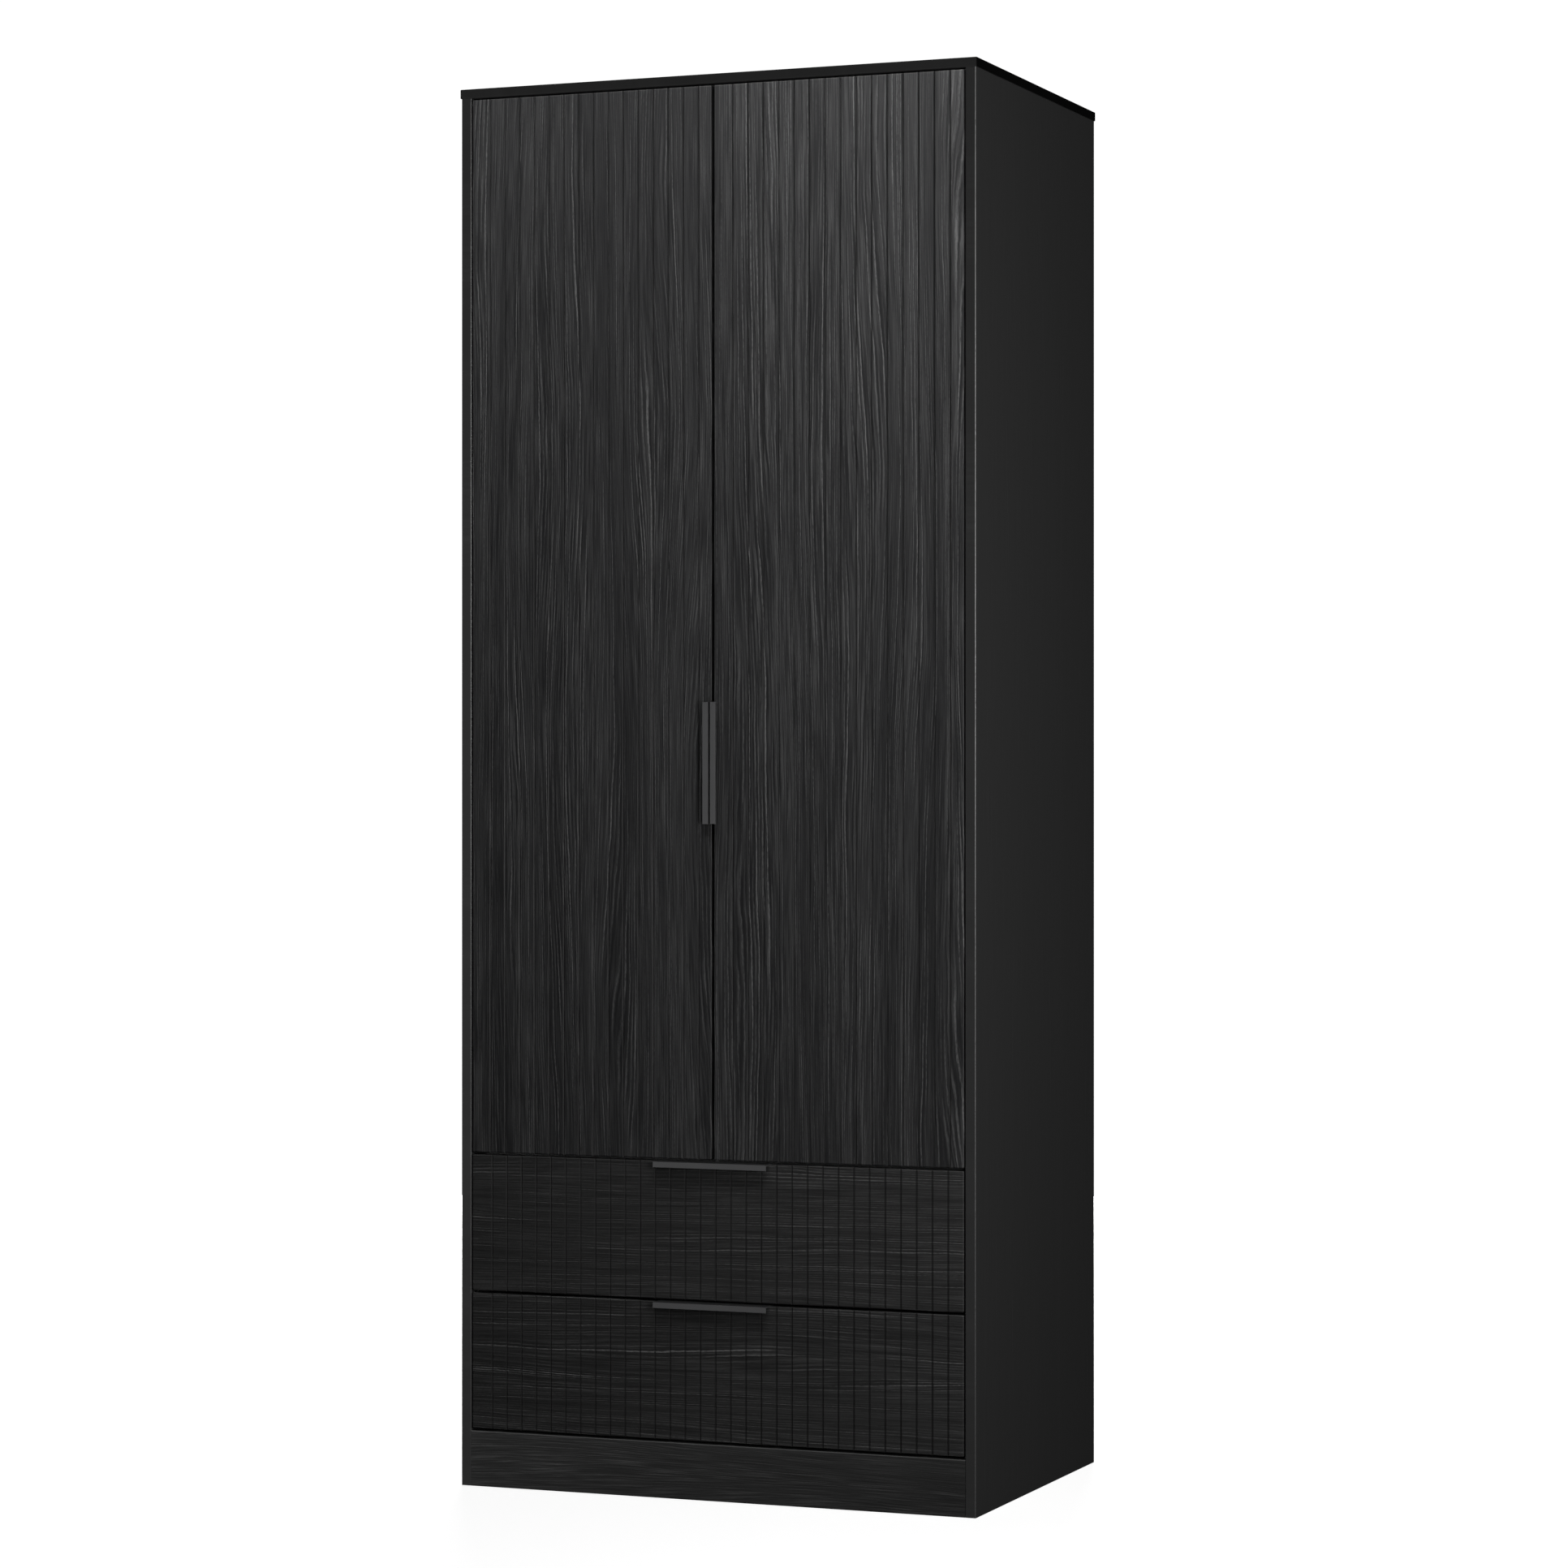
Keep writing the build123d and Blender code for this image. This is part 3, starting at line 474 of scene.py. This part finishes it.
def moulded(name, dark, light, rough):
    """Moulded plastic, rubber or turned wood with a fine skin."""
    finish = Finish(name)
    place = finish.vector(*finish.place())
    skin = finish.noise(place, SKIN_PER_METRE)
    shading = finish.noise(place, SHADING_PER_METRE)
    finish.paint(
        Base_Color=finish.blend(skin * 0.4 + shading * 0.6, dark, light),
        Roughness=rough + skin * 0.15,
    )
    finish.bump(skin, 0.3, 0.00005)
    return finish


dress(moulded("wheel_plastic", (0.42, 0.42, 0.4, 1), (0.55, 0.55, 0.52, 1), 0.35),
      *[f"{drawer}_{end}_wheels" for drawer in DRAWERS for end in ("front", "rear")])
dress(moulded("fitting_plastic", grey(0.02), grey(0.04), 0.4), "rail_sockets", "back_joint_strip")
dress(moulded("bumper_rubber", grey(0.02), grey(0.035), 0.7), "bumpers")
dress(moulded("dowel_beech", (0.45, 0.3, 0.17, 1), (0.6, 0.42, 0.26, 1), 0.6), "dowels")

# %% [markdown]
# ## Floor and backdrop
# A product stands on a seamless white sweep. Here a large floor and a dome glow softly, and
# neither is seen by the object's own reflections, so black foil stays black. Near the wardrobe
# the floor glows less and the lamps light it too, so a faint shadow still shows at the foot.

# %% The white sweep
SWEEP_RADIUS = 40.0
FLOOR_NEAR_GLOW = 0.86
FLOOR_FAR_GLOW = 1.02
NEAR_ENDS = 0.9
FAR_STARTS = 2.6


def camera_only(piece, finish):
    """Keep a stage piece out of the object's light and reflections."""
    piece.data.materials.append(finish.material)
    piece.visible_diffuse = False
    piece.visible_glossy = False
    piece.visible_transmission = False
    piece.visible_shadow = False


floor_white = Finish("floor_white", Roughness=0.9, Emission_Strength=1.0)
x, y, z = floor_white.place()
away = (x * x + y * y).maths("SQRT").between(NEAR_ENDS, FAR_STARTS)
floor_grain = floor_white.noise(floor_white.vector(x, y, z), 30.0)
floor_white.paint(
    Base_Color=floor_white.blend(floor_grain, grey(0.78), grey(0.8)),
    Emission_Color=floor_white.blend(away, grey(FLOOR_NEAR_GLOW), grey(FLOOR_FAR_GLOW)),
)
bpy.ops.mesh.primitive_circle_add(vertices=96, radius=SWEEP_RADIUS, fill_type="NGON")
floor = bpy.context.object
floor.name = "floor"
camera_only(floor, floor_white)

dome_white = Finish("dome_white", Roughness=0.9, Emission_Strength=1.0)
haze = dome_white.noise(dome_white.vector(*dome_white.place()), 0.1)
dome_white.paint(Emission_Color=dome_white.blend(haze, grey(1.02), grey(1.05)))
bpy.ops.mesh.primitive_uv_sphere_add(segments=64, ring_count=32, radius=SWEEP_RADIUS)
dome = bpy.context.object
dome.name = "dome"
camera_only(dome, dome_white)
print("stage pieces:", floor.name, dome.name)

# %% [markdown]
# ## Softboxes
# A softbox is a rectangular area light turned toward a point. A studio flags its lights off
# with black card, and light linking does the same here: a light that is linked to a group of
# parts reaches only those.


# %% Softboxes
def softbox(name, place, aim, width, height, watts, lit=None):
    """A rectangular area light aimed at a point, for all parts or for a list of them."""
    data = bpy.data.lights.new(name, "AREA")
    data.shape = "RECTANGLE"
    data.size = width
    data.size_y = height
    data.energy = watts
    light = bpy.data.objects.new(name, data)
    bpy.context.scene.collection.objects.link(light)
    light.location = place
    light.rotation_euler = (Vector(aim) - Vector(place)).to_track_quat("-Z", "Y").to_euler()
    if lit:
        group = bpy.data.collections.new(f"lit_by_{name}")
        for piece in lit:
            group.objects.link(nodes[piece])
        light.light_linking.receiver_collection = group
    return light


print("softbox maker ready")

# %% [markdown]
# ## Studio light
# The right fill and the rear fill reach everything. The left fill is for the body, and a weaker
# one from the same place is for the right side panel, which would be too bright otherwise.
# Three softboxes for the fronts alone make the doors fade from top to bottom while the body
# stays even. The inside and top fills reach what closed doors hide. A tall strip on the right
# is seen in the side panels' reflections only, and draws the bright line down their corners.

# %% Lights
CENTRE = (0, 0, 1.0)
LEFT_PLACE = (-2.4, -2.2, 0.9)
FRONTS = DOORS + DRAWER_FRONTS
BODY = [name for name in nodes if name not in FRONTS]
SHELL = [*SIDE_PANELS, "top_panel", "plinth"]
INSIDE = [name for name in BODY if name not in SHELL and not name.endswith("_pull")]
BODY_BUT_RIGHT = [name for name in BODY if name != "right_side_panel"]

softbox("right_fill", (2.0, -2.2, 0.9), CENTRE, 1.0, 1.2, 37)
softbox("rear_fill", (-1.5, 4.0, 0.9), CENTRE, 2.0, 1.8, 130)
softbox("inside_fill", (0.4, -3.2, 1.9), CENTRE, 1.6, 1.6, 125, INSIDE)
softbox("top_fill", (0, 0.5, 4.2), CENTRE, 1.6, 1.6, 42, ["top_panel", *INSIDE])
softbox("left_fill", LEFT_PLACE, CENTRE, 1.0, 1.2, 32, BODY_BUT_RIGHT)
softbox("left_weak_fill", LEFT_PLACE, CENTRE, 1.0, 1.2, 14, ["right_side_panel"])
softbox("low_front", (0.6, -2.6, 0.4), (0, 0, 0.4), 1.0, 0.6, 3, FRONTS)
softbox("high_front", (0.7, -1.7, 2.9), (0.1, 0, 1.5), 1.2, 0.6, 40, FRONTS)
softbox("high_left", (-0.35, -1.2, 2.75), (-0.2, 0, 1.7), 0.7, 0.4, 8, FRONTS)
strip = softbox("right_strip", (2.4, -1.2, 1.62), (0.4, 0, 1.62), 0.4, 1.35, 110, SIDE_PANELS)
strip.visible_diffuse = False
print("lights:", ", ".join(light.name for light in bpy.data.lights))

# %% [markdown]
# ## Air and tone
# A trace of even light stands for the room, so no corner is pure black. The Standard view
# transform leaves white at full white, which a filmic one would dull.

# %% Air and tone
AIR_STRENGTH = 0.012
world = bpy.data.worlds.new("studio_air")
world.use_nodes = True
air = world.node_tree.nodes["Background"]
air.inputs["Color"].default_value = grey(1.0)
air.inputs["Strength"].default_value = AIR_STRENGTH
bpy.context.scene.world = world
bpy.context.scene.view_settings.view_transform = "Standard"
print("air strength:", AIR_STRENGTH)

# %% [markdown]
# ## Camera
# The camera stands level at about half the wardrobe's height and to its right, with a long
# lens, so uprights stay upright and the right side shows as a narrow face.

# %% Camera
CAMERA_PLACE = (2.3148, -5.8397, 0.9885)
CAMERA_TURN = 21.589
CAMERA_LENS = 100.54
CAMERA_SENSOR = 36.0
CAMERA_RISE = 0.0006
camera_data = bpy.data.cameras.new("camera")
camera_data.lens = CAMERA_LENS
camera_data.sensor_width = CAMERA_SENSOR
camera_data.shift_y = CAMERA_RISE
camera = bpy.data.objects.new("camera", camera_data)
bpy.context.scene.collection.objects.link(camera)
camera.location = CAMERA_PLACE
camera.rotation_euler = (math.pi / 2, 0, math.radians(CAMERA_TURN))
bpy.context.scene.camera = camera
print("camera", CAMERA_PLACE, "turned", CAMERA_TURN, "degrees")
